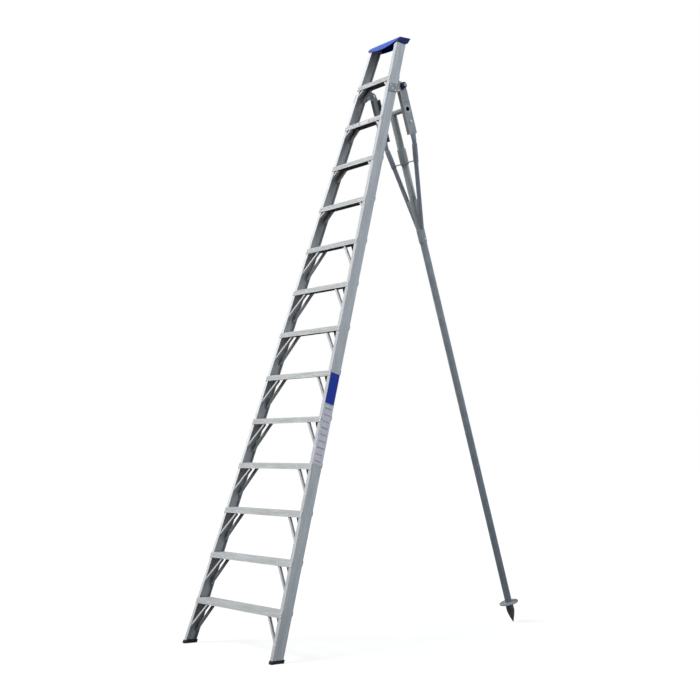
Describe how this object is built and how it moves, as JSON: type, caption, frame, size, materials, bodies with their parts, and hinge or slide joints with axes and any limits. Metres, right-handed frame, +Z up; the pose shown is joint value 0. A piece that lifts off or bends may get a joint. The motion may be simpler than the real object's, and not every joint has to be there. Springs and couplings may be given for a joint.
{
  "type": "cherry picking ladder",
  "caption": "Tall tapered aluminium orchard step ladder with braced treads, a moulded top cap and a single folding rear leg that stands on a ground disc and spike.",
  "frame": {"origin": "on the ground, under the middle of the open ladder's footprint", "axes": "+Z up, -Y the side that is climbed, +Y towards the rear leg, +X to the climber's right"},
  "size_m": [1.0852, 2.379, 4.0038],
  "materials": {
    "stile_aluminium": "mill finish, satin",
    "tread_aluminium": "mill finish, ribbed",
    "brace_aluminium": "mill finish, satin",
    "cap_plastic": "moulded, satin",
    "shoe_rubber": "moulded, matt",
    "galvanised_steel": "galvanised, dull",
    "pole_steel": "galvanised, dull",
    "zinc_fastener": "bright zinc",
    "bush_plastic": "moulded, satin",
    "disc_steel": "bright zinc",
    "spike_iron": "black, matt"
  },
  "bodies": {
    "ladder": {"stile_left": "stile_aluminium", "stile_right": "stile_aluminium", "tread_01": "tread_aluminium", "tread_02": "tread_aluminium", "tread_03": "tread_aluminium", "tread_04": "tread_aluminium", "tread_05": "tread_aluminium", "tread_06": "tread_aluminium", "tread_07": "tread_aluminium", "tread_08": "tread_aluminium", "tread_09": "tread_aluminium", "tread_10": "tread_aluminium", "tread_11": "tread_aluminium", "tread_12": "tread_aluminium", "tread_13": "tread_aluminium", "braces_01": "brace_aluminium", "braces_02": "brace_aluminium", "braces_03": "brace_aluminium", "braces_04": "brace_aluminium", "braces_05": "brace_aluminium", "braces_06": "brace_aluminium", "braces_07": "brace_aluminium", "braces_08": "brace_aluminium", "braces_09": "brace_aluminium", "braces_10": "brace_aluminium", "braces_11": "brace_aluminium", "braces_12": "brace_aluminium", "braces_13": "brace_aluminium", "top_cap": "cap_plastic", "shoe_left": "shoe_rubber", "shoe_right": "shoe_rubber", "hinge_bracket_left": "galvanised_steel", "hinge_bracket_right": "galvanised_steel", "hinge_bolt_left": "zinc_fastener", "hinge_bolt_right": "zinc_fastener", "hinge_nut_left": "zinc_fastener", "hinge_nut_right": "zinc_fastener", "hinge_bush_left": "bush_plastic", "hinge_bush_right": "bush_plastic"},
    "rear_leg": {"arm_left": "galvanised_steel", "arm_right": "galvanised_steel", "cross_tube": "galvanised_steel", "centre_tube": "galvanised_steel", "centre_collar": "galvanised_steel", "tie_rod": "galvanised_steel", "strut_left": "galvanised_steel", "strut_right": "galvanised_steel", "strut_sleeve_left": "galvanised_steel", "strut_sleeve_right": "galvanised_steel", "strut_bolt_left": "galvanised_steel", "strut_bolt_right": "galvanised_steel", "gusset_plates": "galvanised_steel", "leg_socket": "galvanised_steel", "socket_bolt": "galvanised_steel", "leg_pole": "pole_steel", "ground_disc": "disc_steel", "spike": "spike_iron"}
  },
  "joints": [
    {"name": "leg_fold", "type": "hinge", "parent": "ladder", "child": "rear_leg", "pos_m": [0, 0.09051, 3.66803], "axis": [1, 0, 0], "range_deg": [-33, 0]}
  ]
}
